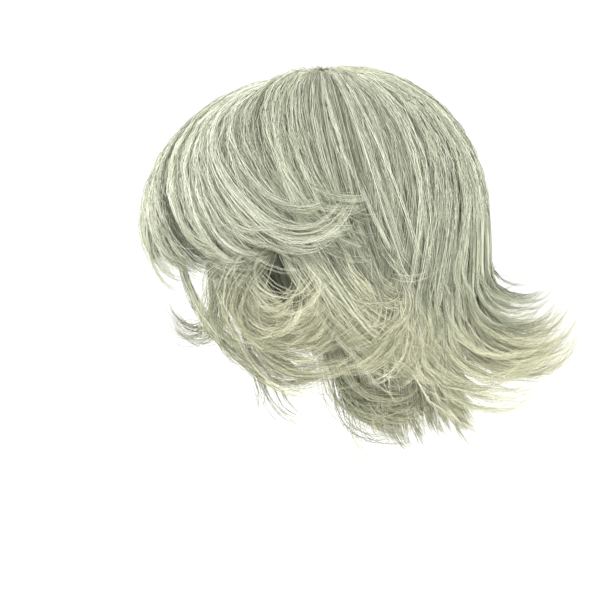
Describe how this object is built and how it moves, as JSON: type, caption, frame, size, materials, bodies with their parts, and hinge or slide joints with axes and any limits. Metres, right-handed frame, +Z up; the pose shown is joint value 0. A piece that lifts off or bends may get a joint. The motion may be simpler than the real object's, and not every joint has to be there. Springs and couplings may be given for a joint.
{
  "type": "short layered wig",
  "caption": "Short layered wig of silver-grey hair on a fitted net cap, with a swept fringe, curled sides and ends flipped out at the back.",
  "frame": {"origin": "where the crown of the wearer's head touches the inside of the cap", "axes": "+Z up, -Y the way the wearer faces, +X to the wearer's left"},
  "size_m": [0.229, 0.2997, 0.249],
  "materials": {
    "hair": "silver-grey fibre with a soft sheen",
    "cap_net": "grey stretch net",
    "crown_skin": "matt skin-coloured mesh"
  },
  "bodies": {
    "root": {"cap": "cap_net", "crown_patch": "crown_skin", "crown_locks": "hair", "fringe_locks": "hair", "left_locks": "hair", "right_locks": "hair", "back_locks": "hair", "nape_locks": "hair"}
  },
  "joints": []
}
